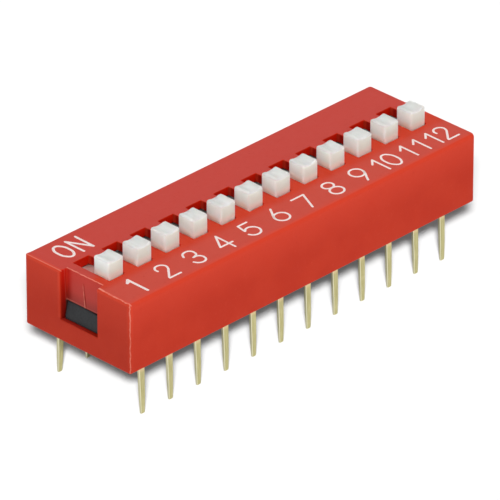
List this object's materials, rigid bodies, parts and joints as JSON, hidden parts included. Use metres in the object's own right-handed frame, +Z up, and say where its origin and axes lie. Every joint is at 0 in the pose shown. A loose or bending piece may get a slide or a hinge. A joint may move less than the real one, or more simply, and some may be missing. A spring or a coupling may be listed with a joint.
{
  "type": "dip switch",
  "caption": "Low rectangular slide DIP switch: a row of raised sliders in slots across the top, a latched base and two rows of blade leads for a circuit board.",
  "frame": {"origin": "centre of the base's underside, on the face that sits on the circuit board", "axes": "+X along the row of switches from number 1 to number 12, +Y across the row towards ON, +Z up from the board"},
  "size_m": [0.032, 0.0096, 0.0105],
  "materials": {
    "cover_plastic": "satin red moulding",
    "base_plastic": "satin black moulding",
    "slider_plastic": "satin off-white moulding",
    "contact_metal": "plated spring strip",
    "terminal_metal": "pale gold plating"
  },
  "bodies": {
    "housing": {"cover": "cover_plastic", "base": "base_plastic", "terminal_front_1": "terminal_metal", "terminal_front_2": "terminal_metal", "terminal_front_3": "terminal_metal", "terminal_front_4": "terminal_metal", "terminal_front_5": "terminal_metal", "terminal_front_6": "terminal_metal", "terminal_front_7": "terminal_metal", "terminal_front_8": "terminal_metal", "terminal_front_9": "terminal_metal", "terminal_front_10": "terminal_metal", "terminal_front_11": "terminal_metal", "terminal_front_12": "terminal_metal", "terminal_back_1": "terminal_metal", "terminal_back_2": "terminal_metal", "terminal_back_3": "terminal_metal", "terminal_back_4": "terminal_metal", "terminal_back_5": "terminal_metal", "terminal_back_6": "terminal_metal", "terminal_back_7": "terminal_metal", "terminal_back_8": "terminal_metal", "terminal_back_9": "terminal_metal", "terminal_back_10": "terminal_metal", "terminal_back_11": "terminal_metal", "terminal_back_12": "terminal_metal"},
    "switch_1": {"slider_1": "slider_plastic", "contact_1": "contact_metal"},
    "switch_2": {"slider_2": "slider_plastic", "contact_2": "contact_metal"},
    "switch_3": {"slider_3": "slider_plastic", "contact_3": "contact_metal"},
    "switch_4": {"slider_4": "slider_plastic", "contact_4": "contact_metal"},
    "switch_5": {"slider_5": "slider_plastic", "contact_5": "contact_metal"},
    "switch_6": {"slider_6": "slider_plastic", "contact_6": "contact_metal"},
    "switch_7": {"slider_7": "slider_plastic", "contact_7": "contact_metal"},
    "switch_8": {"slider_8": "slider_plastic", "contact_8": "contact_metal"},
    "switch_9": {"slider_9": "slider_plastic", "contact_9": "contact_metal"},
    "switch_10": {"slider_10": "slider_plastic", "contact_10": "contact_metal"},
    "switch_11": {"slider_11": "slider_plastic", "contact_11": "contact_metal"},
    "switch_12": {"slider_12": "slider_plastic", "contact_12": "contact_metal"}
  },
  "joints": [
    {"name": "slide_1", "type": "slide", "parent": "housing", "child": "switch_1", "axis": [0, 1, 0], "range_m": [0, 0.0018]},
    {"name": "slide_2", "type": "slide", "parent": "housing", "child": "switch_2", "axis": [0, 1, 0], "range_m": [0, 0.0018]},
    {"name": "slide_3", "type": "slide", "parent": "housing", "child": "switch_3", "axis": [0, 1, 0], "range_m": [0, 0.0018]},
    {"name": "slide_4", "type": "slide", "parent": "housing", "child": "switch_4", "axis": [0, 1, 0], "range_m": [0, 0.0018]},
    {"name": "slide_5", "type": "slide", "parent": "housing", "child": "switch_5", "axis": [0, 1, 0], "range_m": [0, 0.0018]},
    {"name": "slide_6", "type": "slide", "parent": "housing", "child": "switch_6", "axis": [0, 1, 0], "range_m": [0, 0.0018]},
    {"name": "slide_7", "type": "slide", "parent": "housing", "child": "switch_7", "axis": [0, 1, 0], "range_m": [0, 0.0018]},
    {"name": "slide_8", "type": "slide", "parent": "housing", "child": "switch_8", "axis": [0, 1, 0], "range_m": [0, 0.0018]},
    {"name": "slide_9", "type": "slide", "parent": "housing", "child": "switch_9", "axis": [0, 1, 0], "range_m": [0, 0.0018]},
    {"name": "slide_10", "type": "slide", "parent": "housing", "child": "switch_10", "axis": [0, 1, 0], "range_m": [0, 0.0018]},
    {"name": "slide_11", "type": "slide", "parent": "housing", "child": "switch_11", "axis": [0, 1, 0], "range_m": [0, 0.0018]},
    {"name": "slide_12", "type": "slide", "parent": "housing", "child": "switch_12", "axis": [0, 1, 0], "range_m": [0, 0.0018]}
  ]
}
